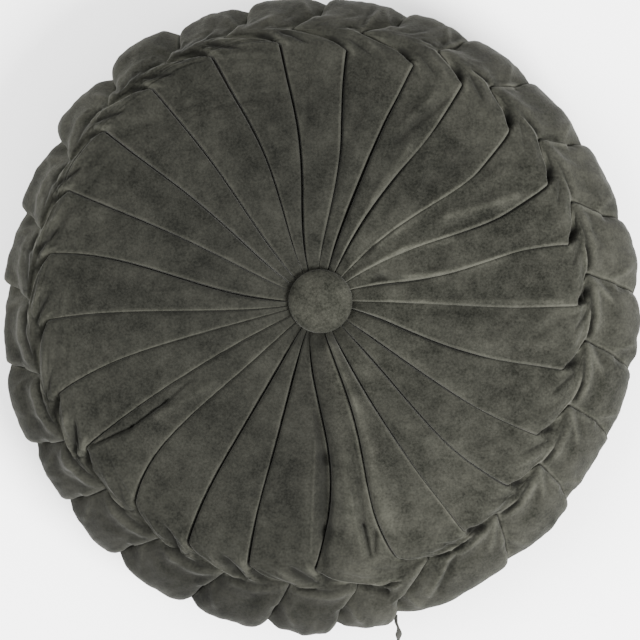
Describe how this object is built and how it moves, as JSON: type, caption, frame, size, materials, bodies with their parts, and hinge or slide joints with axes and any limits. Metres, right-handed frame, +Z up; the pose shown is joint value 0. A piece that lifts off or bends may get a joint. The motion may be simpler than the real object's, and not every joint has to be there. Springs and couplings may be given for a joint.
{
  "type": "round cushion",
  "caption": "Round filled velvet cushion with radial knife pleats, a plaited shoulder, a puffed side band, covered buttons and a short pull tab.",
  "frame": {"origin": "on the surface it rests on, under the middle of the whole part's box", "axes": "+Z up from the back to the buttoned front, +Y towards the top of the face, away from the pull tab, and +X to the right"},
  "size_m": [0.3991, 0.4038, 0.1005],
  "materials": {
    "velvet": "grey-green crushed velvet",
    "button_velvet": "grey-green velvet stretched over a button",
    "tape": "dark grey-green woven tape"
  },
  "bodies": {
    "root": {"cushion_cover": "velvet", "front_button": "button_velvet", "back_button": "button_velvet", "pull_tab": "tape"}
  },
  "joints": []
}
